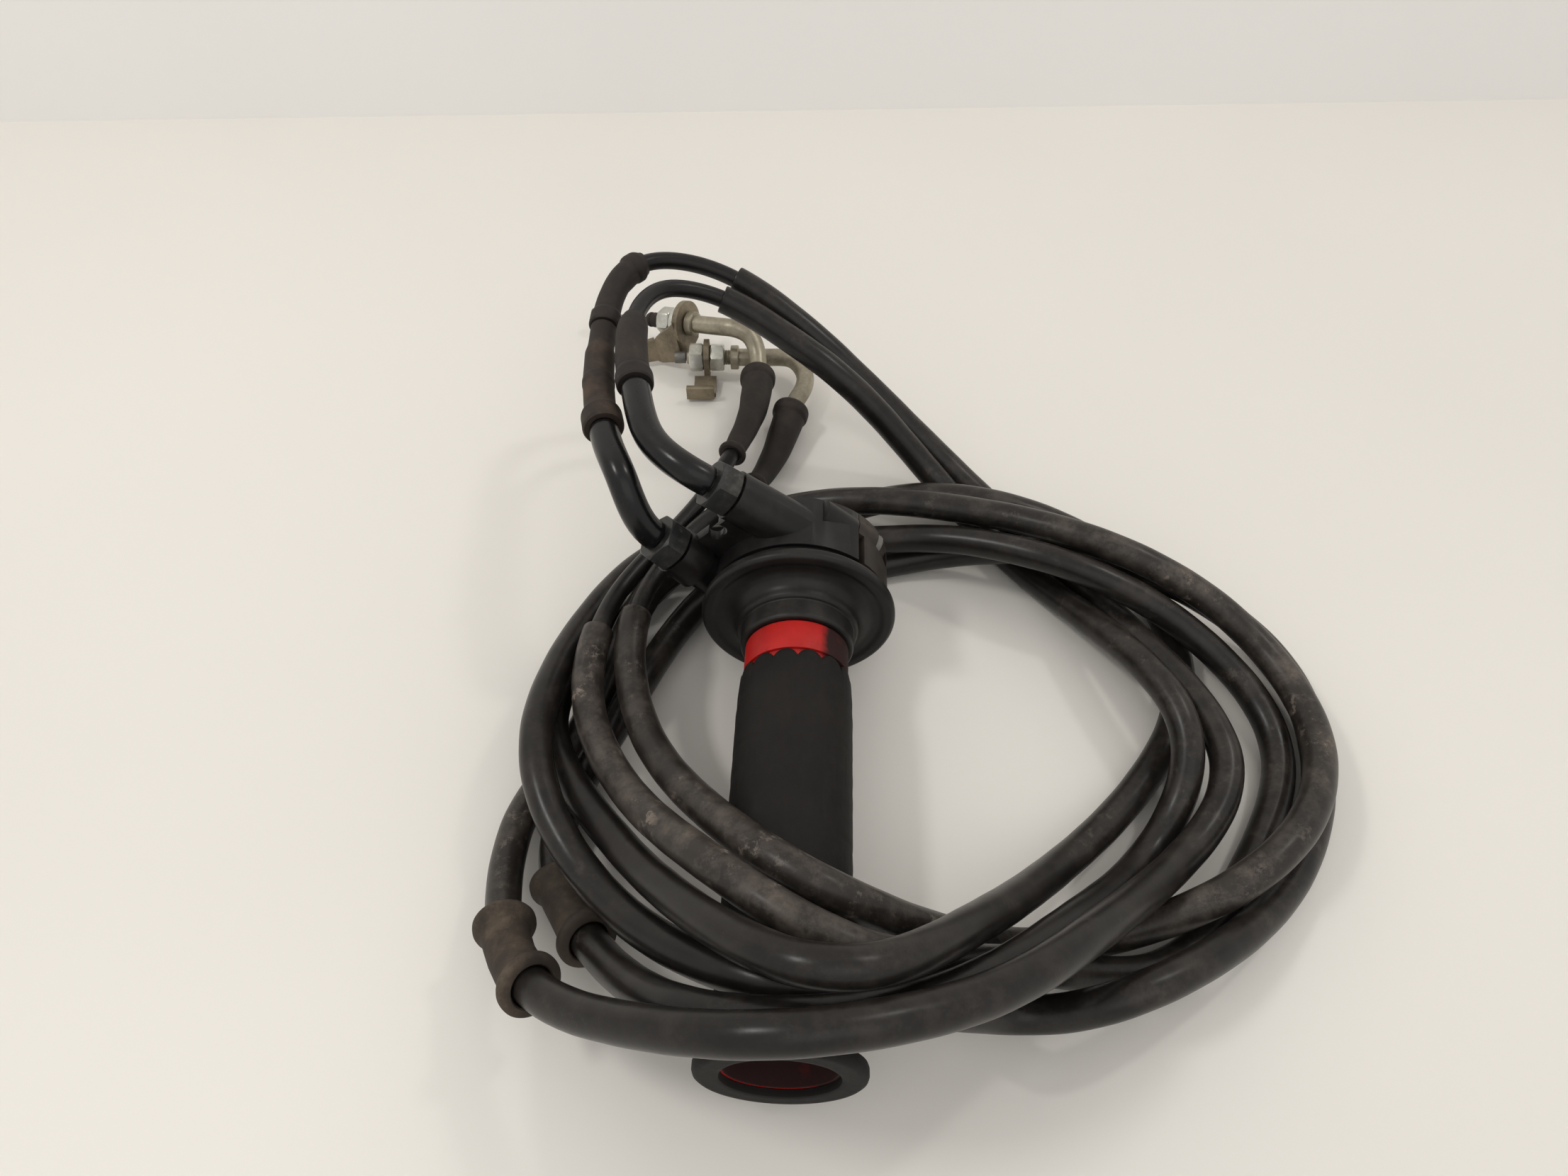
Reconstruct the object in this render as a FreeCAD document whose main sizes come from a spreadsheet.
import FreeCAD, Part
import os, math
import Sketcher
from FreeCAD import Vector as V

# Throttle grip with its reel housing and its pull and return cables, millimetres.
# Origin: on the grip axis, at the inboard face of the grip flange.
# +Y runs inboard along the handlebar, the grip points to -Y, +Z is up.
# Angles are measured about the grip axis, from +X towards +Z.
# The exported files are shifted so that their origin is in the middle of the clamp bore.
os.makedirs("parts", exist_ok=True)
doc = FreeCAD.newDocument("throttle_grip")

# ---------------------------------------------------------------- driving sizes
# (alias, value); a "pos", "start" or "end" is a distance along the part's own axis
SIZES = [
    ("bar_bore_radius", 11.4), ("tube_radius", 13.8), ("collar_radius", 14.8),
    ("tube_length", 130.0), ("end_counterbore_radius", 12.8), ("end_counterbore_depth", 12.0),
    ("drum_radius", 15.2), ("drum_flange_radius", 18.4), ("wire_pitch_radius", 16.0),
    ("pull_groove_pos", 8.0), ("return_groove_pos", 13.0), ("drum_start", 5.4), ("drum_end", 15.6),
    ("rubber_radius", 16.0), ("rubber_bore", 13.95), ("rubber_start", 25.0), ("rubber_end", 132.0),
    ("end_flange_radius", 19.6), ("end_opening_radius", 13.5),
    ("flange_radius", 28.5), ("flange_thickness", 3.8), ("boss_radius", 18.0),
    ("neck_radius", 16.3),
    ("housing_radius", 26.4), ("housing_front", 1.5), ("housing_back", 22.0),
    ("cavity_radius", 19.6), ("tube_pass_radius", 15.3), ("clamp_bore_radius", 11.12),
    ("duct_radius", 7.3), ("duct_end", 36.4), ("duct_socket_radius", 5.2),
    ("duct_socket_start", 27.0), ("wire_hole_radius", 1.6),
    ("nut_flats", 13.6), ("nut_thick", 7.0), ("nut_shank_radius", 5.1), ("nut_bore_radius", 2.75),
    ("pipe_radius", 2.4), ("pipe_bore", 1.5), ("pipe_collar_radius", 4.2),
    ("cover_radius", 4.4), ("cover_bore", 2.95),
    ("casing_radius", 2.85), ("casing_bore", 1.45), ("wire_radius", 0.75),
    ("sleeve_radius", 4.6), ("sleeve_bore", 3.4),
    ("boot_bore", 3.4), ("throttle_open_angle", 80.0),
    ("end_pipe_radius", 3.4), ("end_pipe_bore", 2.0), ("bracket_thick", 2.2),
    ("lock_nut_flats", 10.0), ("lock_nut_thick", 5.4),
    ("screw_radius", 1.95), ("screw_head_radius", 3.6), ("clamp_offset", 24.6),
]
sheet = doc.addObject("Spreadsheet::Sheet", "Sizes")
for row, (alias, size) in enumerate(SIZES, 1):
    sheet.set("A%d" % row, alias)
    sheet.set("B%d" % row, str(size))
    sheet.setAlias("B%d" % row, alias)
doc.recompute()


def val(alias):
    return float(getattr(sheet, alias))


# ---------------------------------------------------------------- cable centre lines
# (x, y, z) points from inside the housing duct to the boot at the far end of the cable,
# one every 12 mm or so after the first few
RETURN_POINTS = [
    (-12.6, 13, 29.5), (-17.4, 13, 33.1), (-22.2, 13, 36.7), (-27.4, 13, 40.6), (-41.8, 23.9, 43.5),
    (-46.7, 34.7, 44), (-49.7, 46.3, 43.8), (-52.3, 58, 43.6), (-54.1, 69.8, 43.3), (-54.6, 81.7, 42.7),
    (-52.8, 93.4, 41.6), (-46.8, 103.3, 39.2), (-36.3, 107.3, 35.4), (-25.2, 106.4, 31.4),
    (-14.7, 102.4, 27.4), (-4.7, 97.1, 23.6), (5.2, 91.8, 19.4), (14.6, 87.3, 13.6), (23.4, 83.7, 6.3),
    (31.6, 80.2, -1.6), (39.7, 75.9, -9.3), (47.8, 69.9, -15.7), (55.6, 62.3, -20.4), (63.2, 53.4, -23.1),
    (70.3, 43.9, -23.7), (77, 34, -22.2), (83.1, 24.2, -19.3), (88.8, 14.3, -15.8), (94.4, 4.3, -12.3),
    (99.9, -5.8, -9.3), (105.1, -16.4, -7.5), (109.2, -27.6, -7.9), (110.2, -38.7, -11.9),
    (107.5, -48.6, -18.1), (101.8, -58, -22.5), (94.3, -67.1, -21.9), (86.9, -75.2, -17.2),
    (79.6, -82.5, -11.1), (72.5, -89.4, -4.5), (65.2, -96.3, 2), (57.6, -103.3, 8.1), (49.5, -110, 13.8),
    (40.6, -116.1, 18.8), (30.7, -121.3, 23.1), (19.8, -125.2, 26.2), (8.2, -127.5, 27.6),
    (-3.6, -127.7, 26.4), (-14.5, -125.7, 22), (-23.4, -121.7, 15.1), (-30.8, -116.5, 7.3),
    (-37.6, -110.4, -0.4), (-44.2, -103.4, -7.5), (-50.8, -95.4, -13.3), (-57.1, -86.3, -17.9),
    (-62.2, -75.9, -21), (-63.9, -64.3, -21.7), (-61.3, -52.7, -20.3), (-56.8, -41.8, -18.6),
    (-52.3, -30.7, -17.9), (-48.3, -19.5, -18.2), (-44.4, -8.2, -19.1), (-40.2, 2.9, -20.3),
    (-35.4, 13.8, -21.6), (-29.7, 24.2, -22.8), (-23, 34.1, -23.6), (-15, 43, -23.8), (-5.9, 50.6, -23.1),
    (4.3, 56.6, -21.5), (15.3, 60.6, -19.1), (26.7, 62.3, -16.1), (38.2, 61.6, -12.8), (49.7, 59.4, -10.3),
    (61.3, 56.7, -9.4), (72.9, 54.2, -10.6), (84.3, 51.8, -13.5), (95.1, 48.3, -17.1), (104.8, 42.5, -20.7),
    (112.2, 33.4, -22.8), (116.6, 22.3, -23.6), (118.5, 10.6, -23.7), (118.2, -1.4, -23.5),
    (115.6, -13, -23.6), (111, -24, -23.7), (104.7, -34.2, -23.5), (97.5, -43.7, -22.8),
    (89.8, -52.7, -21.2), (81.9, -61.2, -18.6), (74, -69.3, -14.6), (66.6, -77, -9.1), (59.8, -84.2, -2.5),
    (53.3, -91.1, 4.8), (46.9, -97.7, 12.4), (40.4, -104.2, 20.1), (33.6, -110.7, 27.5),
    (25.8, -116.7, 34.3), (16.2, -121.3, 39.6), (4.6, -121.3, 39.7), (-5.1, -116.5, 34.8),
    (-13, -110.3, 28.3), (-20, -103.6, 21.3), (-26.5, -96.5, 14.2), (-32.9, -89.1, 7.4), (-39.5, -81.1, 1.4),
    (-46.5, -72.5, -3), (-53.8, -63.5, -6.1), (-60.6, -54.1, -8.8), (-66.3, -43.9, -11.4),
    (-69.9, -32.8, -13.9), (-70.1, -21.2, -16.6), (-67.3, -9.8, -19.1), (-62.7, 1, -21.2),
    (-57.1, 11.4, -22.8), (-51, 21.6, -23.7), (-44.4, 31.6, -23.9), (-36.8, 40.8, -23), (-27.8, 48.2, -20.7),
    (-17.2, 52.3, -16.9), (-6.2, 53.3, -12.5), (5.1, 52.8, -8.6), (16.7, 51.7, -5.8), (28.5, 50.9, -4.6),
    (40.4, 49.7, -4.4), (52.2, 47.7, -4.2), (63.6, 44.4, -3.2), (74.5, 39.7, -1.5), (85.1, 34.4, 0.1),
    (95.7, 29, 0.5), (106.6, 24.3, -1.1), (117.2, 19.7, -4.3), (127.2, 14.4, -8.1), (136, 7.2, -11.6),
    (142.9, -2.3, -13.7), (147.2, -13.4, -14.4), (148.7, -25.2, -13.8), (147.2, -36.9, -12.2),
    (143.1, -47.9, -9.9), (137.1, -58, -7.8), (129.4, -67, -6.6), (120.2, -74.6, -7.4),
    (110.2, -80.1, -10.9), (99.9, -83.7, -15.6), (89, -86.3, -20), (77.5, -88.8, -21.8),
    (66.1, -91.4, -19.8), (55.6, -93.8, -14.7), (46.2, -96, -7.6), (37.5, -97.7, 0.4), (28.8, -98.9, 8.5),
    (19.6, -99, 16.2), (9.4, -97.1, 21.9), (-1.1, -91.7, 22.5), (-9.9, -84.4, 19.1), (-17.3, -76.5, 14.1),
    (-24.1, -68.2, 8.7), (-30.5, -59.5, 3.7), (-36.6, -50, -0.3), (-41.9, -39.6, -2.9), (-45.9, -28.4, -3.2),
    (-48.2, -16.8, -1.9), (-48.2, -4.9, -0.8), (-46.1, 6.8, -1.1), (-41.9, 18, -1.6), (-36.2, 28.5, -1.4),
    (-30.6, 38.9, -3.2), (-25.9, 48.9, -7.6), (-21.8, 58.9, -12.8), (-18, 69.1, -17.8), (-14.3, 79.9, -21),
    (-10.8, 91.3, -21.7), (-7.9, 102.9, -20.7), (-5.2, 114.4, -19),
]
PULL_POINTS = [
    (-31, 8, 10.6), (-35, 8, 15), (-39, 8, 19.5), (-43.3, 8, 24.3), (-50.4, 15.2, 37.9), (-55.3, 25.9, 39.2),
    (-58.9, 37.2, 38.3), (-61.7, 48.8, 37.4), (-63.7, 60.5, 36.7), (-65, 72.3, 36.3), (-65.6, 84.2, 36.6),
    (-65.2, 96, 38.1), (-62.4, 107.3, 40), (-55.1, 116.5, 40.2), (-44.2, 120.6, 38.2), (-32.8, 120.6, 35.1),
    (-21.9, 117.6, 31.4), (-11.8, 113, 27.1), (-2.2, 108.1, 22), (7.1, 103.3, 16.3), (16, 98.7, 10),
    (24.9, 94.6, 3.2), (33.7, 90.7, -3.9), (42.5, 86.3, -10.6), (51.2, 80.6, -16.2), (59.7, 73.3, -20.2),
    (67.7, 64.8, -22.6), (75.1, 55.5, -23.6), (82, 45.8, -23.5), (88.4, 35.9, -22.4), (94.3, 25.7, -20.4),
    (99.8, 15.5, -18), (105.3, 5.1, -15.8), (110.7, -5.4, -14.1), (115.6, -16.1, -12.8),
    (119.5, -27.3, -12.2), (121, -39.1, -12.7), (117.9, -50.4, -14.2), (111.3, -60.2, -15),
    (103.3, -68.9, -13.3), (95.5, -76.8, -9.2), (87.9, -84.1, -3.6), (80.6, -91.1, 2.7), (73.3, -97.9, 9.1),
    (65.8, -104.7, 15.3), (57.8, -111.5, 20.9), (49, -117.9, 25.9), (39.5, -123.5, 30.4), (29.3, -128, 34.5),
    (18.5, -131.6, 37.8), (6.9, -133.9, 39.1), (-4.8, -134.3, 37), (-15.3, -132.8, 31.8),
    (-24.9, -130.2, 25.3), (-34, -127, 18.3), (-43, -123.3, 11.4), (-51.8, -118.6, 5), (-59.8, -112.2, -1.1),
    (-66.3, -103.8, -6.4), (-70.8, -93.8, -11), (-73.8, -83, -15), (-75.3, -71.7, -18.5),
    (-75.1, -60.2, -21.4), (-72.1, -48.9, -23.4), (-67, -38.1, -23.6), (-62, -27.5, -22),
    (-58.2, -16.4, -19.5), (-55, -5.3, -16.7), (-51.4, 5.7, -14), (-46.5, 16.3, -11.8), (-38.3, 24.7, -11.1),
    (-27.2, 28.3, -12.8), (-15.7, 29.4, -15.6), (-4.2, 30.4, -18.7), (7, 33.1, -21.5), (18.2, 36.8, -23.2),
    (29.6, 40.1, -23.4), (41.2, 41.7, -21.5), (52.7, 41.4, -18.3), (64, 39.9, -14.9), (75.4, 37.9, -12),
    (87, 35.6, -10.5), (98.6, 33, -10.5), (109.9, 29.7, -11.7), (120.8, 25.5, -13.9), (131.2, 20.2, -16.6),
    (140.5, 13.4, -19.5), (148, 4.6, -22), (152.4, -6.3, -23.4), (153.6, -18.1, -23.7),
    (152.5, -29.9, -23.4), (149.6, -41.5, -23), (145.3, -52.5, -22.7), (139.5, -62.9, -21.9),
    (132.4, -72.3, -20.2), (124.4, -80.7, -17.6), (115.8, -88.2, -14.1), (106.8, -94.9, -10.3),
    (97.2, -101.1, -6.9), (86.8, -106.5, -5), (75.9, -110, -7.3), (66, -110.3, -14), (54.8, -110.2, -16.5),
    (45, -112.2, -10.2), (36.5, -114.5, -2.2), (28.2, -116.8, 6), (19.4, -118.6, 13.8), (9.2, -119.5, 19.8),
    (-2.4, -118.2, 21), (-13.1, -114.4, 17.5), (-22.3, -109.3, 12.1), (-30.9, -103.2, 6.6),
    (-39.2, -96.1, 1.8), (-47.2, -88, -1.7), (-54.9, -79.1, -2.9), (-61.6, -69.4, -1.7), (-66.6, -58.7, 0),
    (-69.4, -47.2, 0.1), (-70.3, -35.5, -1.9), (-69.8, -23.9, -4.7), (-68.3, -12.5, -7.6),
    (-65.7, -1.2, -10.2), (-61.8, 9.9, -11.9), (-56.4, 20.5, -12.8), (-49, 29.8, -13), (-39.3, 36.5, -13),
    (-27.7, 39.4, -13.1), (-15.9, 39.9, -13.1), (-4, 39.6, -13.1), (7.9, 39.7, -13.1), (19.8, 40.5, -12.8),
    (31.7, 40.9, -11.9), (43.3, 39.7, -10), (54.4, 36.4, -7.3), (65.1, 31.7, -4.7), (75.7, 26.7, -2.9),
    (86.6, 22, -3), (97.5, 17.7, -4.9), (108.1, 13.2, -8.1), (117.9, 7.6, -11.7), (126.8, 0.6, -15.3),
    (134.4, -8, -18.5), (139.6, -18.3, -21.2), (140.9, -29.9, -22.9), (138.1, -41.4, -23.4),
    (132.9, -52.1, -23.4), (126.7, -62.3, -23.4), (120, -72.1, -23.5), (112.6, -81.4, -23.7),
    (104, -89.7, -23.5), (93.9, -95.7, -22.3), (82.7, -98.4, -19.5), (71.7, -99.6, -15.1),
    (61.5, -101, -9.2), (52.2, -103.5, -2.2), (43.5, -106.7, 5.3), (34.7, -109.7, 12.7),
    (25.3, -111.8, 19.7), (14.7, -111.3, 25), (3.8, -107.4, 27), (-6.3, -101.2, 25.9), (-15.1, -94, 22.6),
    (-22.9, -86.5, 17.6), (-29.9, -78.9, 11.7), (-36.5, -70.9, 5.8), (-43, -62.2, 1), (-49.4, -52.6, -1.6),
    (-54.9, -42, -2.2), (-58.3, -30.6, -2), (-59.4, -18.8, -2.1), (-58.5, -6.9, -2.5), (-55.8, 4.6, -2.9),
    (-51.2, 15.6, -3.3), (-45.4, 26, -3.6), (-39.7, 36.4, -4.1), (-34.4, 47.1, -4.7), (-30, 58.1, -5.2),
    (-26.3, 69.4, -6), (-23.4, 80.8, -7.7), (-21.2, 92.3, -10.1), (-19.7, 103.9, -12.4),
    (-19.1, 115.7, -13.7), (-19, 127.6, -14.5),
]

Y_AXIS, Z_AXIS = V(0, 1, 0), V(0, 0, 1)
SQRT3 = 1.7320508             # a hexagon's width across flats over its corner radius


def radial(degrees):
    """unit vector square to the grip axis at an angle from +X towards +Z"""
    angle = math.radians(degrees)
    return V(math.cos(angle), 0, math.sin(angle))


def along_y(y):
    """point on the grip axis"""
    return V(0, y, 0)


def axes_placement(x_dir, y_dir, z_dir, origin):
    return FreeCAD.Placement(FreeCAD.Matrix(
        x_dir.x, y_dir.x, z_dir.x, origin.x,
        x_dir.y, y_dir.y, z_dir.y, origin.y,
        x_dir.z, y_dir.z, z_dir.z, origin.z,
        0, 0, 0, 1))


# ---------------------------------------------------------------- lofting along a centre line
class Line:
    """Smooth centre line through a list of points. On a cable the parameter counts points,
    roughly one per 12 mm; on a short end pipe it is the length in millimetres."""

    def __init__(self, points, cable=False):
        gaps = [b.sub(a).Length for a, b in zip(points[:-1], points[1:])]
        if cable:
            self.par = [float(i) for i in range(len(points))]
            # the first points stand closer together than the rest
            for i in (3, 2, 1, 0):
                self.par[i] = self.par[i + 1] - gaps[i] / 12.0
        else:
            self.par = [0.0]
            for gap in gaps:
                self.par.append(self.par[-1] + gap)
        self.section_step = 0.5 if cable else 2.5
        self.frame_step = 0.25 if cable else 1.0
        self.curve = Part.BSplineCurve()
        self.curve.interpolate(Points=points, Parameters=self.par)
        self.carry_frames()

    def at(self, u):
        return self.curve.value(u)

    def dir(self, u):
        return self.curve.tangent(u)[0]

    def carry_frames(self):
        """X directions square to the line, carried without twist from its start"""
        self.carried = []
        first, last = self.par[0], self.par[-1]
        x_dir = self.dir(first).cross(V(0.3, 0.2, 0.93))
        for i in range(int((last - first) / self.frame_step) + 2):
            tangent = self.dir(min(first + i * self.frame_step, last))
            x_dir = x_dir - tangent * x_dir.dot(tangent)
            x_dir.normalize()
            self.carried.append(x_dir)

    def grid(self, start, end):
        """section positions: both ends and every grid line between, shared by coaxial pieces"""
        step = self.section_step
        inner = []
        k = int(math.floor(start / step)) + 1
        while k * step < end - 0.2 * step:
            if k * step > start + 0.2 * step:
                inner.append(k * step)
            k += 1
        return [start] + inner + [end]

    def frame(self, u):
        """placement at u with its Z axis along the line"""
        tangent = self.dir(u)
        tangent.normalize()
        nearest = int(round((u - self.par[0]) / self.frame_step))
        x_dir = self.carried[min(len(self.carried) - 1, max(0, nearest))]
        x_dir = x_dir - tangent * x_dir.dot(tangent)
        x_dir.normalize()
        return axes_placement(x_dir, tangent.cross(x_dir), tangent, self.at(u))


def placed_ring(placement, radius):
    edge = Part.makeCircle(radius, V(0, 0, 0), Z_AXIS)
    edge.Placement = placement
    return Part.Wire(edge)


def ring(line, u, radius):
    return placed_ring(line.frame(u), radius)


def hollow_solid(line, outer, bore):
    """outer and bore are (parameter, radius) sections with the same ends"""
    faces = []
    for sections in (outer, bore):
        faces += Part.makeLoft([ring(line, u, r) for u, r in sections], False, True).Faces
    caps = [Part.Face([ring(line, *outer[i]), ring(line, *bore[i])]) for i in (0, -1)]
    shell = Part.makeShell(faces + caps)
    shell.sewShape()
    solid = Part.Solid(shell)
    if not solid.isValid():
        solid.fix(1e-4, 1e-4, 1e-3)
    if solid.Volume < 0:
        solid.reverse()
    return solid


def tube_solid(line, start, end, outer_radius, bore_radius):
    """tube of constant section along the line"""
    places = line.grid(start, end)
    return hollow_solid(line, [(u, outer_radius) for u in places],
                        [(u, bore_radius) for u in places])


def radius_at(stations, u):
    for (u0, r0), (u1, r1) in zip(stations[:-1], stations[1:]):
        if u <= u1:
            return r0 + (r1 - r0) * (u - u0) / (u1 - u0)
    return stations[-1][1]


def filled_in(line, stations):
    """the stations, with a section at each grid line that is not close to a station"""
    own = [u for u, r in stations]
    extra = [u for u in line.grid(own[0], own[-1]) if min(abs(u - q) for q in own) > 0.12]
    return [(u, radius_at(stations, u)) for u in sorted(set(own + extra))]


def turned(line, stations, bore):
    """hollow body of changing radius: stations are (parameter, radius);
    the bore is one radius or its own list of stations"""
    if not isinstance(bore, list):
        bore = [(stations[0][0], bore), (stations[-1][0], bore)]
    return hollow_solid(line, filled_in(line, stations), filled_in(line, bore))


def one(shape):
    """unwrap a boolean result to its single solid"""
    return shape.Solids[0] if len(shape.Solids) == 1 else shape


parts = {}


def keep(obj, name):
    """label an object and list it for export"""
    obj.Label = name
    parts[name] = obj


def feature(name, shape):
    obj = doc.addObject("Part::Feature", name)
    obj.Shape = shape
    obj.Placement = shape.Placement
    keep(obj, name)


# ---------------------------------------------------------------- sums of sheet aliases
def signed_terms(text):
    """'alias+alias-number' -> list of (sign, term)"""
    return [(-1 if term[0] == "-" else 1, term.lstrip("-"))
            for term in text.replace("-", "+-").split("+")]


def eval_sheet(text):
    total = 0.0
    for sign, term in signed_terms(text):
        total += sign * (float(term) if term[0].isdigit() else val(term))
    return total


def sheet_expr(text):
    """the same sum as a document expression; its first term is always positive"""
    result = ""
    for sign, term in signed_terms(text):
        result += (" + " if sign > 0 else " - ") + (term if term[0].isdigit() else "Sizes." + term)
    return result[3:]


# ---------------------------------------------------------------- turned parts (Part Design)
def turned_body(name, corners):
    """Revolve a closed outline about the grip axis (the sketch's vertical axis).
    corners: (radius, distance along Y, sign of Y); sizes are numbers or sums of aliases."""
    body = doc.addObject("PartDesign::Body", name)
    body.Label = name
    sketch = body.newObject("Sketcher::SketchObject", name + "_outline")
    plane = [f for f in body.Origin.OriginFeatures if f.Role == "XY_Plane"][0]
    sketch.AttachmentSupport = [(plane, "")]
    sketch.MapMode = "FlatFace"

    def number(size):
        return eval_sheet(size) if isinstance(size, str) else size

    def dimension(kind, start, end, distance, size):
        """constrain from one (geometry, point) to another and bind it to the sheet"""
        index = sketch.addConstraint(Sketcher.Constraint(kind, *start, *end, distance))
        if isinstance(size, str):
            sketch.setExpression("Constraints[%d]" % index, sheet_expr(size))

    points = [(number(radius), sign * number(y)) for radius, y, sign in corners]
    count = len(points)
    for i in range(count):
        a, b = points[i], points[(i + 1) % count]
        sketch.addGeometry(Part.LineSegment(V(a[0], a[1], 0), V(b[0], b[1], 0)), False)
    for i in range(count):
        sketch.addConstraint(Sketcher.Constraint("Coincident", i, 2, (i + 1) % count, 1))
    origin = (-1, 1)
    for i, (radius, y, sign) in enumerate(corners):
        corner = (i, 1)
        dimension("DistanceX", origin, corner, points[i][0], radius)
        if abs(points[i][1]) < 1e-9:
            sketch.addConstraint(Sketcher.Constraint("PointOnObject", i, 1, -1))
        elif points[i][1] > 0:
            dimension("DistanceY", origin, corner, points[i][1], y)
        else:
            dimension("DistanceY", corner, origin, -points[i][1], y)
    doc.recompute()
    turn = body.newObject("PartDesign::Revolution", name + "_turn")
    turn.Profile = sketch
    turn.ReferenceAxis = (sketch, ["V_Axis"])
    turn.Angle = 360.0
    body.Tip = turn
    doc.recompute()
    return body


# throttle tube: grip sleeve, collar and cable drum in one piece; nipple pockets are cut below
tube_blank = turned_body("throttle_tube", [
    ("bar_bore_radius", "drum_end+1.9", 1), ("tube_radius", "drum_end+1.9", 1),
    ("tube_radius", "drum_end", 1), ("drum_flange_radius", "drum_end", 1),
    ("drum_flange_radius", "return_groove_pos+1.2", 1),
    ("drum_radius", "return_groove_pos+1", 1), ("drum_radius", "return_groove_pos-1", 1),
    ("drum_flange_radius", "return_groove_pos-1.2", 1),
    ("drum_flange_radius", "pull_groove_pos+1.2", 1),
    ("drum_radius", "pull_groove_pos+1", 1), ("drum_radius", "pull_groove_pos-1", 1),
    ("drum_flange_radius", "pull_groove_pos-1.2", 1), ("drum_flange_radius", "drum_start", 1),
    ("tube_radius", "drum_start", 1), ("tube_radius", 15.4, -1),
    ("collar_radius", 15.4, -1), ("collar_radius", 24.6, -1), ("tube_radius", 24.6, -1),
    ("tube_radius", "tube_length", -1), ("end_counterbore_radius", "tube_length", -1),
    ("end_counterbore_radius", "tube_length-end_counterbore_depth", -1),
    ("bar_bore_radius", "tube_length-end_counterbore_depth", -1)])
tube_blank.Label = "throttle_tube_blank"

# large flange at the inboard end of the grip, with its stepped boss
keep(turned_body("grip_flange", [
    (13.95, 0, 1), ("flange_radius-1.1", 0, 1), ("flange_radius-0.3", 0.4, -1),
    ("flange_radius", 1.2, -1), ("flange_radius", "flange_thickness-1.2", -1),
    ("flange_radius-0.3", "flange_thickness-0.4", -1),
    ("flange_radius-1.1", "flange_thickness", -1),
    ("boss_radius+2.4", "flange_thickness", -1), ("boss_radius+0.7", "flange_thickness+0.8", -1),
    ("boss_radius", "flange_thickness+2.2", -1), ("boss_radius-0.3", 8.2, -1),
    ("boss_radius-0.8", 8.7, -1), ("neck_radius", 8.8, -1), ("neck_radius", 14.2, -1),
    ("neck_radius-0.5", 15.0, -1), (13.95, 15.0, -1)]), "grip_flange")

# rubber cover of the grip; the gaps between lobes and the worn spots are cut below
rubber_blank = turned_body("rubber_blank", [
    ("rubber_bore", "rubber_start", -1), ("rubber_radius-0.9", "rubber_start", -1),
    ("rubber_radius-0.5", "rubber_start+1.5", -1), ("rubber_radius-0.2", "rubber_start+6", -1),
    ("rubber_radius", "rubber_start+14", -1), ("rubber_radius", "rubber_end-5.2", -1),
    ("end_flange_radius-0.6", "rubber_end-4.2", -1), ("end_flange_radius", "rubber_end-3.4", -1),
    ("end_flange_radius", "rubber_end-1.0", -1), ("end_flange_radius-0.9", "rubber_end", -1),
    ("end_opening_radius+0.4", "rubber_end", -1), ("end_opening_radius", "rubber_end-0.5", -1),
    ("end_opening_radius", "rubber_end-1.9", -1), ("rubber_bore", "rubber_end-1.9", -1)])


# ---------------------------------------------------------------- primitives bound to the sheet
def bind(obj, prop, size):
    """set a property from a number or from a sum of aliases"""
    if isinstance(size, str):
        obj.setExpression(prop, sheet_expr(size))
        size = eval_sheet(size)
    setattr(obj, prop, size)


def cylinder(name, radius, height, base, axis):
    obj = doc.addObject("Part::Cylinder", name)
    bind(obj, "Radius", radius)
    bind(obj, "Height", height)
    obj.Placement = FreeCAD.Placement(base, FreeCAD.Rotation(Z_AXIS, axis))
    return obj


def cone(name, radius1, radius2, height, base, axis):
    obj = doc.addObject("Part::Cone", name)
    obj.Radius1, obj.Radius2, obj.Height = radius1, radius2, height
    obj.Placement = FreeCAD.Placement(base, FreeCAD.Rotation(Z_AXIS, axis))
    return obj


def union_nut_hexagon(name, base, axis, turn):
    obj = doc.addObject("Part::Prism", name)
    obj.Polygon = 6
    obj.setExpression("Circumradius", "Sizes.nut_flats / %s" % SQRT3)
    obj.Circumradius = val("nut_flats") / SQRT3
    bind(obj, "Height", "nut_thick")
    rotation = FreeCAD.Rotation(Z_AXIS, axis).multiply(FreeCAD.Rotation(Z_AXIS, turn))
    obj.Placement = FreeCAD.Placement(base, rotation)
    return obj


def box(name, length, width, height, placement):
    obj = doc.addObject("Part::Box", name)
    obj.Length, obj.Width, obj.Height = length, width, height
    obj.Placement = placement
    return obj


def fuse(name, items):
    obj = doc.addObject("Part::MultiFuse", name)
    obj.Shapes = items
    return obj


def pair(kind, name, base, tool):
    obj = doc.addObject(kind, name)
    obj.Base, obj.Tool = base, tool
    return obj


def cut(name, base, tool):
    return pair("Part::Cut", name, base, tool)


def common(name, base, tool):
    return pair("Part::Common", name, base, tool)


# ---------------------------------------------------------------- grip rubber
LOBES = 14                    # round the inboard edge
FIRST_GAP_ANGLE = 88.0
# (x, y, z, radius) of the spots worn through to the tube
WORN_SPOTS = ((-8.3, -91.7, 13.7, 1.9), (-8.0, -95.0, 13.9, 1.3), (-10.6, -117.6, 12.0, 1.5))

cutters = []
for i in range(LOBES):
    outward = radial(FIRST_GAP_ANGLE + 360.0 / LOBES * i)
    cutters.append(cylinder("lobe_gap_%d" % i, 1.35, 4.0,
                            outward * 13.2 + along_y(-24.7), outward))
for i, (x, y, z, spot_radius) in enumerate(WORN_SPOTS):
    outward = V(x, 0, z)
    outward.normalize()
    cutters.append(cylinder("worn_spot_%d" % i, spot_radius, 4.0,
                            outward * 13.0 + along_y(y), outward))
keep(cut("grip_rubber_cut", rubber_blank, fuse("grip_rubber_cutters", cutters)), "grip_rubber")

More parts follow.
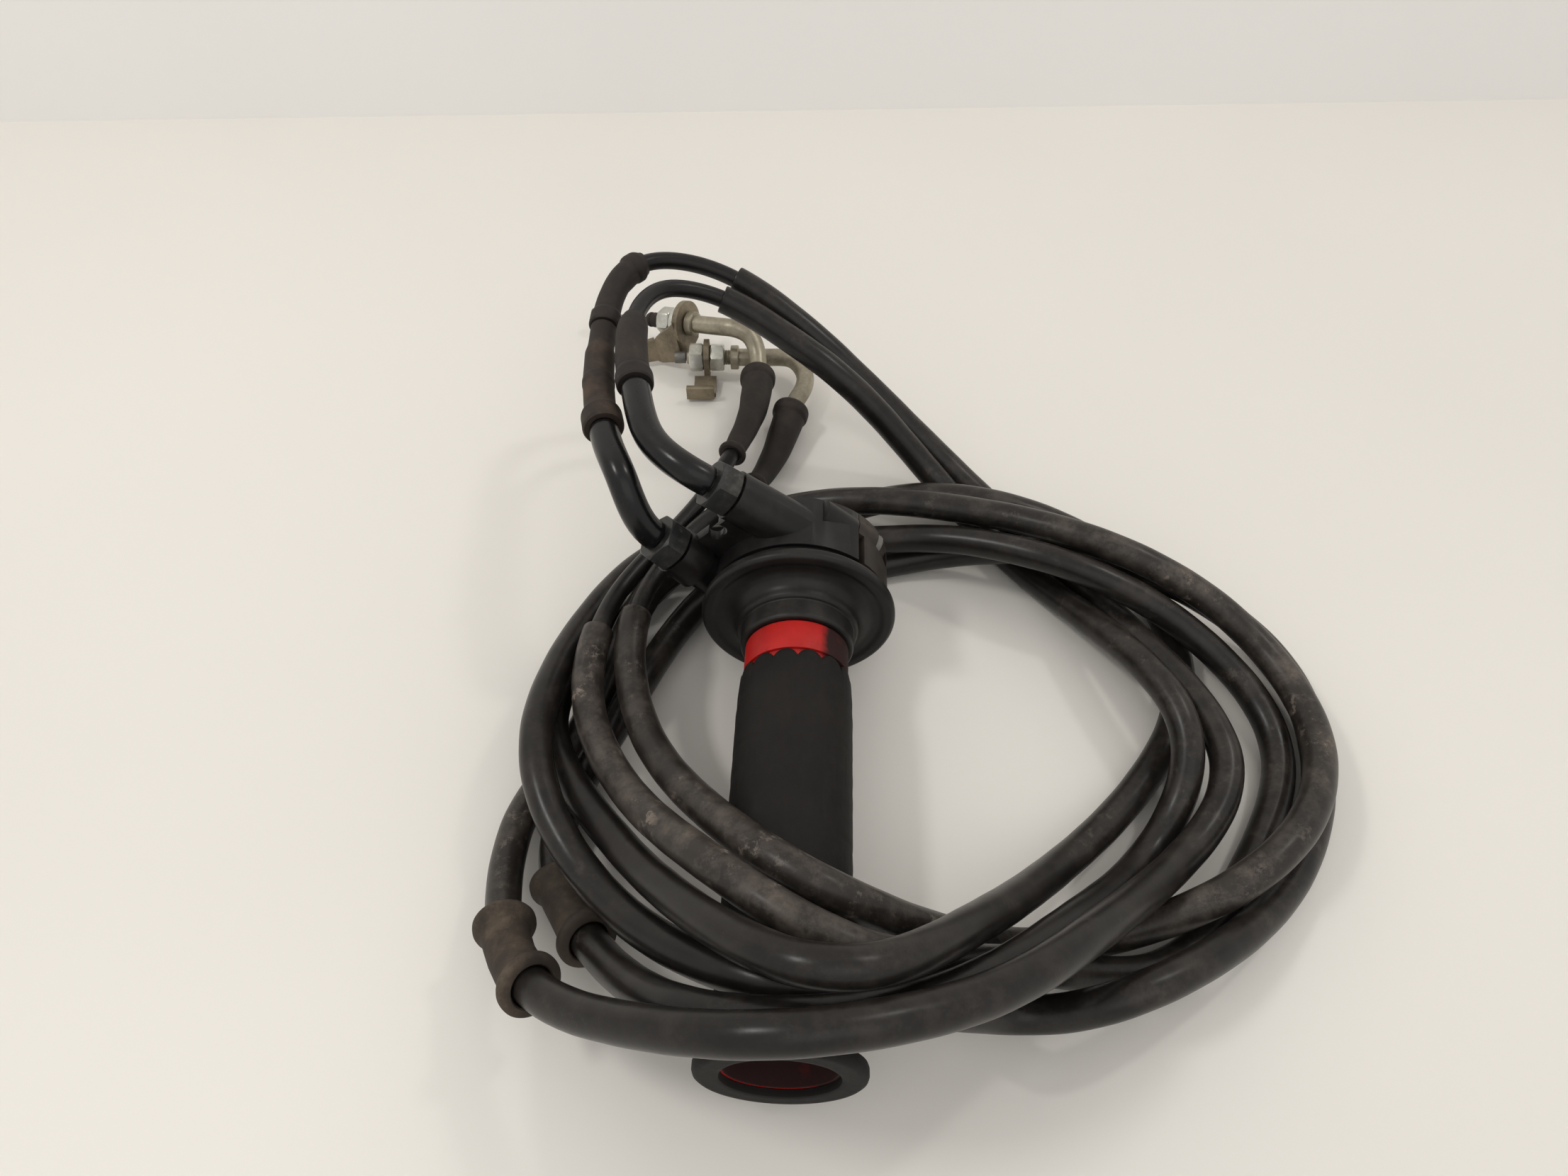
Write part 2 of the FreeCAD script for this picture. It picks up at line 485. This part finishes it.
# ---------------------------------------------------------------- duct lines of the two cables
PITCH_RADIUS = val("wire_pitch_radius")


def duct_line(x, y, z, side):
    """straight wire line through the union nut centre, tangent to the drum:
    its tangent point and its direction; side is +1 or -1 for the two tangents"""
    reach = math.hypot(x, z)
    angle = math.atan2(z, x) + side * math.asin(PITCH_RADIUS / reach)
    direction = V(math.cos(angle), 0, math.sin(angle))
    return V(x, y, z) - direction * math.sqrt(reach ** 2 - PITCH_RADIUS ** 2), direction


PULL_DUCT = duct_line(-39.0, val("pull_groove_pos"), 19.5, -1)
RETURN_DUCT = duct_line(-22.2, val("return_groove_pos"), 36.7, +1)
DUCTS = (("pull", *PULL_DUCT), ("return", *RETURN_DUCT))


def on_duct(duct, distance):
    return duct[0] + duct[1] * distance


# ---------------------------------------------------------------- reel housing
FORWARD = radial(140.0)       # square to the joint face, from the rear half to the front half
JOINT_DOWN = radial(230.0)    # along the joint face, towards -X and -Z
JOINT_GAP = 0.15              # from the joint plane to each half
BOSS_RADIUS = 4.2
FRONT_BOSS_DEPTH, REAR_BOSS_DEPTH = 11.5, 7.5
REAR_BOSS_FACE = -JOINT_GAP - REAR_BOSS_DEPTH
RECESS_DEPTH = 9.0
LIP_LENGTH = 9.0
HALFSPACE = 140.0
# clamp screw centres on the joint plane
CLAMP_CENTRES = [JOINT_DOWN * val("clamp_offset") + along_y(16.9),
                 JOINT_DOWN * (2.0 - val("clamp_offset")) + along_y(16.5)]


def joint_box(name, size, toward, start):
    """box squared to the joint face; its local X points toward, its local Y along the bar"""
    z_dir = toward.cross(Y_AXIS)
    corner = toward * start[0] + Y_AXIS * start[1] + z_dir * start[2]
    return box(name, *size, axes_placement(toward, Y_AXIS, z_dir, corner))


def duct_forms(tag):
    """the two ducts with their end lips, and the web between them"""
    items = []
    for name, start, axis in DUCTS:
        # the pull duct is slimmer and set inboard, flush with its lip on that side
        slim = 0.9 if name == "pull" else 0
        radius = "duct_radius-0.9" if slim else "duct_radius"
        items.append(cylinder("%s_%s_duct" % (tag, name), radius, "duct_end",
                              start + along_y(slim), axis))
        items.append(cylinder("%s_%s_duct_lip" % (tag, name), "duct_radius", LIP_LENGTH,
                              start + axis * (val("duct_end") - LIP_LENGTH), axis))
    corners = [on_duct(PULL_DUCT, 14.0), on_duct(PULL_DUCT, 34.0),
               on_duct(RETURN_DUCT, 33.5), on_duct(RETURN_DUCT, 8.0)]
    web = doc.addObject("Part::Feature", tag + "_web")
    web.Shape = extruded([V(c.x, 8.6, c.z) for c in corners], along_y(3.2))
    return items + [web]


def extruded(corners, thickness):
    """closed polygon extruded by a thickness vector"""
    return Part.Face(Part.makePolygon(corners + corners[:1])).extrude(thickness)


def front_tools(tag):
    """screw holes, wire holes with nut sockets, and the long hole in the web"""
    tools = []
    for i, centre in enumerate(CLAMP_CENTRES):
        tools.append(cylinder("%s_screw_hole_%d" % (tag, i), "screw_radius+0.1", 11.0,
                              centre + FORWARD * -1.0, FORWARD))
    for name, start, axis in DUCTS:
        tools.append(cylinder("%s_%s_wire_hole" % (tag, name), "wire_hole_radius", 60.0,
                              start + axis * -4.0, axis))
        tools.append(cylinder("%s_%s_socket" % (tag, name), "duct_socket_radius", 30.0,
                              start + axis * val("duct_socket_start"), axis))
    hole = V(-22.9, 5.0, 24.4)
    tools.append(cylinder(tag + "_web_hole_a", 2.1, 12.0, hole, Y_AXIS))
    tools.append(cylinder(tag + "_web_hole_b", 2.1, 12.0, hole + V(-1.3, 0, -1.6), Y_AXIS))
    return tools


def rear_tools(tag):
    """screw holes with head recesses, and a slot beside the joint face towards +X and +Z"""
    tools = []
    for i, centre in enumerate(CLAMP_CENTRES):
        tools.append(cylinder("%s_screw_hole_%d" % (tag, i), "screw_radius+0.25", 20.0,
                              centre + FORWARD * -15.0, FORWARD))
        tools.append(cylinder("%s_head_recess_%d" % (tag, i), "screw_head_radius+0.3",
                              RECESS_DEPTH, centre + FORWARD * (REAR_BOSS_FACE - RECESS_DEPTH),
                              FORWARD))
    tools.append(joint_box(tag + "_slot", (2.4, 13.6, 12.0), FORWARD * -1, (-0.2, -0.5, 21.6)))
    return tools


def housing_half(tag, front):
    start = val("housing_front")
    length = "housing_back-housing_front"
    items = [cylinder(tag + "_drum", "housing_radius-1.2", length, along_y(start), Y_AXIS),
             cylinder(tag + "_belly", "housing_radius", length + "-2.4",
                      along_y(start + 1.2), Y_AXIS)]
    for i, centre in enumerate(CLAMP_CENTRES):
        items.append(cylinder("%s_boss_%d" % (tag, i), BOSS_RADIUS,
                              FRONT_BOSS_DEPTH if front else REAR_BOSS_DEPTH,
                              centre + FORWARD * (JOINT_GAP if front else REAR_BOSS_FACE),
                              FORWARD))
    if front:
        items += duct_forms(tag)
    whole = fuse(tag + "_form", items)
    halfspace = joint_box(tag + "_halfspace", (HALFSPACE,) * 3, FORWARD * (1 if front else -1),
                          (JOINT_GAP, -HALFSPACE / 2, -HALFSPACE / 2))
    side = common(tag + "_side", whole, halfspace)
    tools = [cylinder(tag + "_cavity", "cavity_radius", "drum_end+2.7-housing_front-2.2",
                      along_y(start + 2.2), Y_AXIS),
             cylinder(tag + "_pass", "tube_pass_radius", 8.0, along_y(-1.0), Y_AXIS),
             cylinder(tag + "_bar", "clamp_bore_radius", 20.0, along_y(10.0), Y_AXIS)]
    tools += front_tools(tag) if front else rear_tools(tag)
    return cut(tag + "_cut", side, fuse(tag + "_tools", tools))


keep(housing_half("front_half", True), "housing_front")
keep(housing_half("rear_half", False), "housing_rear")


# ---------------------------------------------------------------- clamp screws
SLOT_LENGTH, SLOT_WIDTH, SLOT_BOX_DEPTH = 4.2, 0.8, 1.2


def clamp_screw(i, centre):
    """cross-slotted screw entered from the rear half"""
    form = fuse("clamp_screw_form_%d" % i, [
        cylinder("clamp_screw_head_%d" % i, "screw_head_radius", 2.2,
                 centre + FORWARD * -9.9, FORWARD),
        cylinder("clamp_screw_shank_%d" % i, "screw_radius", 17.0,
                 centre + FORWARD * -7.8, FORWARD)])
    rotation = FreeCAD.Rotation(Z_AXIS, FORWARD)
    slots = []
    for letter, length, width in (("a", SLOT_LENGTH, SLOT_WIDTH), ("b", SLOT_WIDTH, SLOT_LENGTH)):
        corner = centre + FORWARD * -10.3 + rotation.multVec(V(-length / 2, -width / 2, 0))
        slots.append(box("clamp_slot_%s_%d" % (letter, i), length, width, SLOT_BOX_DEPTH,
                         FreeCAD.Placement(corner, rotation)))
    return cut("clamp_screw_%d" % i, form, fuse("clamp_screw_slots_%d" % i, slots))


screw_set = doc.addObject("Part::Compound", "housing_screws_set")
screw_set.Links = [clamp_screw(i, centre) for i, centre in enumerate(CLAMP_CENTRES)]
keep(screw_set, "housing_screws")


# ---------------------------------------------------------------- union nuts
NUT_START = val("duct_end") + 0.4
NUT_SHANK_LENGTH = 6.6
BEVEL_RADIUS = 6.9            # at the outer face of the hexagon
BEVEL_BASE_RADIUS = 20.0
BEVEL_HEIGHT = 13.1           # gives a 45 degree bevel


def union_nut(name, start, axis):
    """hexagon outside the duct, shank inside it, bored for the guide pipe"""
    def at(distance):
        return start + axis * distance

    form = fuse(name + "_nut_form", [
        union_nut_hexagon(name + "_nut_hex", at(NUT_START), axis, 12.0),
        cylinder(name + "_nut_shank", "nut_shank_radius", NUT_SHANK_LENGTH,
                 at(NUT_START - NUT_SHANK_LENGTH), axis)])
    limit = fuse(name + "_nut_limit", [
        cone(name + "_nut_bevel_a", BEVEL_BASE_RADIUS, BEVEL_RADIUS, BEVEL_HEIGHT,
             at(NUT_START + val("nut_thick") - BEVEL_HEIGHT), axis),
        cylinder(name + "_nut_bevel_b", BEVEL_BASE_RADIUS, 12.0, at(NUT_START - 12.0), axis)])
    bevelled = common(name + "_nut_bevelled", form, limit)
    bore = cylinder(name + "_nut_bore", "nut_bore_radius", 30.0, at(NUT_START - 12.0), axis)
    keep(cut(name + "_nut_cut", bevelled, bore), name + "_union_nut")


for name, start, axis in DUCTS:
    union_nut(name, start, axis)

# ---------------------------------------------------------------- cables
PULL = Line([V(*p) for p in PULL_POINTS], cable=True)
RETURN = Line([V(*p) for p in RETURN_POINTS], cable=True)
COVER = (val("cover_radius"), val("cover_bore"))
CASING = (val("casing_radius"), val("casing_bore"))
SLEEVE = (val("sleeve_radius"), val("sleeve_bore"))
INLINE_FERRULE = (4.2, 3.05)

# plain tubes: name, centre line, start and end parameter, (outer radius, bore radius)
CABLE_TUBES = [
    ("pull_pipe_cover", PULL, 2.35, 5.70, COVER),
    ("return_pipe_cover", RETURN, 2.30, 6.05, COVER),
    ("pull_adjuster_barrel", PULL, 6.55, 9.6, (3.45, 3.05)),
    ("pull_adjuster_lock_nut", PULL, 6.7, 7.0, (3.86, 3.56)),
    ("return_joint_ferrule", RETURN, 6.7, 8.3, (3.9, 3.05)),
    ("pull_casing", PULL, 7.4, 180.72, CASING),
    ("return_casing", RETURN, 7.6, 168.72, CASING),
    ("pull_sleeve_1", PULL, 15.66, 56.94, SLEEVE),
    ("pull_sleeve_2", PULL, 58.79, 169.9, SLEEVE),
    ("return_sleeve_1", RETURN, 12.62, 51.9, SLEEVE),
    ("return_sleeve_2", RETURN, 53.64, 67.9, SLEEVE),
    ("return_sleeve_3", RETURN, 68.0, 159.2, SLEEVE),
    ("pull_inline_ferrule", PULL, 57.19, 58.54, INLINE_FERRULE),
    ("return_inline_ferrule", RETURN, 52.15, 53.4, INLINE_FERRULE),
]
for name, line, start, end, radii in CABLE_TUBES:
    feature(name, tube_solid(line, start, end, *radii))


def guide_pipe(line, end):
    """metal pipe with a clamping collar at the end inside the duct"""
    start = line.par[0]
    collar, pipe = val("pipe_collar_radius"), val("pipe_radius")
    return turned(line, [(start, collar), (start + 0.1, collar), (start + 0.102, pipe),
                         (end, pipe)], val("pipe_bore"))


feature("pull_guide_pipe", guide_pipe(PULL, 7.2))
feature("return_guide_pipe", guide_pipe(RETURN, 7.4))

# boots as (parameter, radius) stations: the outside, then the bore
feature("pull_adjuster_boot_lower", turned(
    PULL,
    [(5.76, 5.6), (5.82, 6.15), (6.3, 6.15), (6.42, 5.2), (6.6, 4.75), (8.9, 4.7), (9.1, 4.3),
     (9.25, 4.15), (10.0, 4.1)],
    [(5.76, 4.0), (7.6, 4.0), (7.7, 3.58), (10.0, 3.58)]))
feature("pull_adjuster_boot_upper", turned(
    PULL,
    [(10.06, 4.6), (10.1, 5.1), (10.5, 5.1), (10.6, 4.4), (11.9, 4.2), (12.35, 4.35),
     (12.42, 5.1), (12.7, 5.1), (12.8, 4.2), (12.86, 3.9)],
    val("boot_bore")))
feature("return_joint_boot", turned(
    RETURN,
    [(6.12, 5.2), (6.18, 5.7), (6.5, 5.75), (6.62, 5.25), (6.9, 5.05), (8.3, 5.0), (8.7, 4.6),
     (8.9, 4.0), (8.96, 3.8)],
    [(6.12, 3.4), (6.5, 3.4), (6.6, 4.15), (8.4, 4.15), (8.5, 3.35), (8.96, 3.35)]))

# one end of the spool-shaped inline boot: (distance in from the end, radius)
INLINE_OUTSIDE = [(0, 7.3), (0.05, 7.8), (0.28, 7.8), (0.36, 7.0), (0.44, 6.1), (0.7, 5.9)]
INLINE_BORE = [(0, 5.15), (0.3, 5.15), (0.34, 4.7)]


def inline_boot(line, start, end):
    """spool-shaped boot with a wide mouth for the sleeve at each end"""
    def both_ends(half):
        return [(start + q, r) for q, r in half] + [(end - q, r) for q, r in reversed(half)]

    return turned(line, both_ends(INLINE_OUTSIDE), both_ends(INLINE_BORE))


feature("pull_inline_boot", inline_boot(PULL, 56.73, 59.0))
feature("return_inline_boot", inline_boot(RETURN, 51.68, 53.86))


def end_boot(line, start, end):
    """tapered boot, small flange on the casing, wide flange on the end pipe"""
    span = end - start
    outside = [(start + q, r) for q, r in (
        (0, 4.0), (0.03, 4.7), (0.14, 4.85), (0.2, 4.4), (0.28, 3.75), (0.36, 3.7), (0.8, 4.05),
        (0.45 * span, 4.75), (0.7 * span, 5.55))]
    outside += [(end - q, r) for q, r in (
        (0.55, 5.85), (0.42, 6.3), (0.3, 6.75), (0.12, 6.75), (0.02, 6.3))]
    bore = [(start, 3.0), (start + 1.5, 3.0), (start + 2.3, 3.95), (end - 0.02, 3.95)]
    return turned(line, outside, bore)


feature("pull_end_boot", end_boot(PULL, 177.3, 181.88))
feature("return_end_boot", end_boot(RETURN, 166.0, 169.88))

# ---------------------------------------------------------------- end pipes
# tip of each pipe and the direction in which its straight last stretch points
PULL_DIR = V(-0.894, 0.396, -0.211)
PULL_DIR.normalize()
PULL_TIP = V(-62.9, 158.7, -14.0)
RETURN_DIR = V(-0.99924, -0.03891, 0.0)
RETURN_DIR.normalize()
RETURN_TIP = V(-48.0, 141.63, -19.0)
STRAIGHT_POINTS = (36.0, 33.0, 25.0, 17.0, 9.0, 0.0)      # distances back from the tip


def end_pipe_line(cable, last, bend, tip, direction):
    """line that leaves the cable at its parameter last and bends to the straight stretch"""
    points = [cable.at(last - 1.1), cable.at(last - 0.55), cable.at(last)]
    points += [V(*p) for p in bend]
    points += [tip - direction * back for back in STRAIGHT_POINTS]
    return Line(points)


def end_pipe(line, cut_back):
    """bent pipe with a round shoulder and a reduced length that stops cut_back from the tip"""
    pipe, shoulder, reduced = val("end_pipe_radius"), 4.7, 3.0
    tip = line.par[-1]
    return turned(line, [(0.0, pipe), (tip - 20.4, pipe), (tip - 20.37, shoulder),
                         (tip - 17.2, shoulder), (tip - 17.17, reduced),
                         (tip - cut_back, reduced)], val("end_pipe_bore"))


PULL_END_LINE = end_pipe_line(
    PULL, 182.0, [(-19.5, 133.1, -12.8), (-20.3, 136.8, -10.6), (-22.3, 140.1, -7.8)],
    PULL_TIP, PULL_DIR)
RETURN_END_LINE = end_pipe_line(
    RETURN, 170.0, [(-2.3, 122.4, -19.0), (-1.1, 129.6, -19.0), (-3.0, 137.3, -19.0),
                    (-7.6, 142.4, -19.0)],
    RETURN_TIP, RETURN_DIR)
feature("pull_end_pipe", end_pipe(PULL_END_LINE, 4.6))
feature("return_end_pipe", end_pipe(RETURN_END_LINE, 0.0))


# ---------------------------------------------------------------- fittings on the end pipes
def lock_nut(place, axis, turn):
    """plain hexagon nut; turn is in degrees about its axis"""
    radius, thick = val("lock_nut_flats") / SQRT3, val("lock_nut_thick")
    corners = []
    for k in range(6):
        angle = math.radians(60 * k + turn)
        corners.append(V(radius * math.cos(angle), radius * math.sin(angle), 0))
    nut = extruded(corners, V(0, 0, thick))
    nut = nut.cut(Part.makeCylinder(3.08, thick + 2.0, V(0, 0, -1.0)))
    nut.Placement = FreeCAD.Placement(place, FreeCAD.Rotation(Z_AXIS, axis))
    return one(nut)


def pull_rod(radius, length, back):
    """cylinder on the pull end pipe's axis, starting back from its tip"""
    return Part.makeCylinder(radius, length, PULL_TIP - PULL_DIR * back, PULL_DIR)


feature("pull_lock_nut", lock_nut(PULL_TIP - PULL_DIR * 10.0, PULL_DIR, 10.0))
feature("return_lock_nut_inner", lock_nut(RETURN_TIP - RETURN_DIR * 14.6, RETURN_DIR, 4.0))
feature("return_lock_nut_outer", lock_nut(RETURN_TIP - RETURN_DIR * 6.4, RETURN_DIR, 22.0))
feature("pull_lock_washer", pull_rod(5.6, 2.6, 13.2).cut(pull_rod(3.2, 10.0, 16.0)))

# seal over the tip of the pull end pipe, with a tapered nose
seal = pull_rod(2.9, 5.6, 4.3)
seal = seal.fuse(Part.makeCone(2.9, 2.2, 1.2, PULL_TIP + PULL_DIR * 1.3, PULL_DIR))
feature("pull_end_seal", one(seal.cut(pull_rod(1.25, 20.0, 10.0))))

PLATE_THICK = val("bracket_thick")


def slab(origin, first, second, corners, thickness):
    """plate with its outline as (first, second) offsets, extruded by a thickness vector"""
    return extruded([origin + first * a + second * b for a, b in corners], thickness)


def pipe_hole(origin, axis):
    return Part.makeCylinder(3.3, 20.0, origin - axis * 8.0, axis)


def bracket_plate():
    """round head on the pull end pipe, a leg along the pipe and an angled end tab"""
    axis = PULL_DIR
    side = axis.cross(Z_AXIS)                 # horizontal, away from the grip
    side.normalize()
    up = side.cross(axis)
    up.normalize()
    origin = PULL_TIP - axis * 16.6
    plate = Part.makeCylinder(8.6, PLATE_THICK, origin, axis)
    plate = plate.fuse(slab(
        origin, side, up,
        [(-7.4, -12.6), (4.0, -9.0), (8.2, -2.0), (8.0, 3.0), (-7.4, 5.0)], axis * PLATE_THICK))
    # leg turned along the pipe on the grip side
    leg_origin = origin + side * -8.4
    plate = plate.fuse(slab(
        leg_origin, axis, up,
        [(1.2, -12.6), (11.5, -14.2), (13.4, -13.6), (13.4, -4.6), (10.6, -1.8),
         (PLATE_THICK + 1.0, 3.0), (1.2, 5.0)], side * PLATE_THICK))
    # tab at the far end of the leg, set away from the pipe
    cosine, sine = math.cos(math.radians(38)), math.sin(math.radians(38))
    plate = plate.fuse(slab(
        leg_origin + axis * 12.2, axis * cosine - side * sine, up,
        [(0.0, -13.2), (6.2, -12.4), (7.6, -10.8), (7.3, -5.4), (5.8, -3.6), (0.0, -3.6)],
        (side * cosine + axis * sine) * PLATE_THICK))
    return one(plate.cut(pipe_hole(origin, axis)))


def hook_plate():
    """upright on the return end pipe with a foot that curls up on the grip side"""
    axis = RETURN_DIR
    side = axis.cross(Z_AXIS)                 # horizontal, away from the grip
    side.normalize()
    origin = RETURN_TIP - axis * 8.9
    # outline, distance back along the pipe, thickness
    pieces = (
        ([(-4.4, -7.8), (4.6, -7.8), (5.4, 2.0), (3.6, 6.2), (-2.0, 6.8), (-5.2, 3.0)],
         0.0, PLATE_THICK),
        ([(-4.4, -7.8), (-13.6, -8.9), (-13.6, -6.7), (-4.4, -5.6)], 2.6, PLATE_THICK + 6.4),
        ([(-13.6, -8.9), (-15.8, -8.1), (-16.4, -2.4), (-14.2, -2.4), (-13.6, -6.7)],
         2.0, PLATE_THICK + 8.4))
    upright, foot, curl = [slab(origin - axis * back, side, Z_AXIS, corners, axis * thick)
                           for corners, back, thick in pieces]
    return one(upright.fuse(foot).fuse(curl).cut(pipe_hole(origin, axis)))


feature("pull_bracket_plate", bracket_plate())
feature("return_hook_plate", hook_plate())

# ---------------------------------------------------------------- inner wires
WIRE_RADIUS = val("wire_radius")


def inner_wire(line, end, duct):
    """rod along the line with an extra straight length inside the duct"""
    start = line.par[0]
    first = placed_ring(FreeCAD.Placement(on_duct(duct, 11.0), line.frame(start).Rotation),
                        WIRE_RADIUS)
    rings = [ring(line, u, WIRE_RADIUS) for u in line.grid(start, end)]
    return Part.makeLoft([first] + rings, True, True)


feature("pull_inner_wire", inner_wire(PULL, 181.6, PULL_DUCT))
feature("return_inner_wire", inner_wire(RETURN, 169.6, RETURN_DUCT))

PULL_NIPPLE_ANGLE, RETURN_NIPPLE_ANGLE = 252.0, -45.0
NIPPLE_RADIUS, NIPPLE_LENGTH = 2.4, 3.8
POCKET_RADIUS, POCKET_LENGTH = 2.55, 4.3


def drum_wire(y, start_angle, end_angle, nipple_angle):
    """wire lying in its groove between two angles, with a cross nipple"""
    circle = Part.Circle(along_y(y), V(0, -1, 0), PITCH_RADIUS)
    # the circle's parameter rises from +X towards +Z but need not be zero at +X
    zero = circle.value(0.0)
    zero_angle = math.degrees(math.atan2(zero.z, zero.x))
    u0, u1 = [math.radians(angle - zero_angle) for angle in (start_angle, end_angle)]
    path = Part.Wire(circle.toShape(u0, u1))
    profile = Part.makeCircle(WIRE_RADIUS, circle.value(u0), circle.tangent(u0)[0])
    run = path.makePipe(Part.Face(Part.Wire(profile)))
    # guards against a sweep that comes back as faces without a solid
    run = run if run.Solids else Part.Solid(Part.Shell(run.Faces))
    base = radial(nipple_angle) * PITCH_RADIUS + along_y(y - NIPPLE_LENGTH / 2)
    return one(run.fuse(Part.makeCylinder(NIPPLE_RADIUS, NIPPLE_LENGTH, base, Y_AXIS)))


feature("pull_drum_wire", drum_wire(val("pull_groove_pos"), 225.0, PULL_NIPPLE_ANGLE,
                                    PULL_NIPPLE_ANGLE))
feature("return_drum_wire", drum_wire(val("return_groove_pos"), RETURN_NIPPLE_ANGLE, 50.0,
                                      RETURN_NIPPLE_ANGLE))

# nipple pockets in the drum, each open outwards
pockets = []
for name, angle in (("pull", PULL_NIPPLE_ANGLE), ("return", RETURN_NIPPLE_ANGLE)):
    y = val(name + "_groove_pos") - POCKET_LENGTH / 2
    base = radial(angle) * PITCH_RADIUS + along_y(y)
    rotation = FreeCAD.Rotation(Y_AXIS, 90.0 - angle)
    corner = base + rotation.multVec(V(-POCKET_RADIUS, 0, 0))
    pockets.append(cylinder(name + "_nipple_pocket", POCKET_RADIUS, POCKET_LENGTH, base, Y_AXIS))
    pockets.append(box(name + "_nipple_mouth", 2 * POCKET_RADIUS, POCKET_LENGTH, 6.0,
                       FreeCAD.Placement(corner, rotation)))
keep(cut("throttle_tube_cut", tube_blank, fuse("nipple_pockets", pockets)), "throttle_tube")

# wire drawn over the drum between closed and open throttle
TRAVEL = PITCH_RADIUS * math.radians(val("throttle_open_angle"))


def end_wire(tip, axis, inside, outside):
    """wire through the end pipe's tip with a nipple along the same axis"""
    wire = Part.makeCylinder(WIRE_RADIUS, inside + outside + 1.0, tip - axis * inside, axis)
    return one(wire.fuse(Part.makeCylinder(2.3, 4.2, tip + axis * outside, axis)))


feature("pull_end_wire", end_wire(PULL_TIP, PULL_DIR, 6.0, TRAVEL + 3.1))
feature("return_end_wire", end_wire(RETURN_TIP, RETURN_DIR, TRAVEL + 4.5, 0.6))
doc.recompute()

# ---------------------------------------------------------------- checks and export
CLAMP_CENTRE_Y = 20.2         # middle of the clamp bore, the origin of the exported files

failed = [obj.Name for obj in doc.Objects if "Invalid" in obj.State or "Error" in obj.State]
if failed:
    raise SystemExit("objects in error: %s" % failed)
for name in sorted(parts):
    shape = parts[name].Shape
    if shape.isNull() or not shape.isValid() or not shape.Solids:
        failed.append(name)
if failed:
    raise SystemExit("bad shapes: %s" % failed)
for name in sorted(parts):
    shape = one(parts[name].Shape).translated(along_y(-CLAMP_CENTRE_Y))
    shape.exportStep("parts/%s.step" % name)
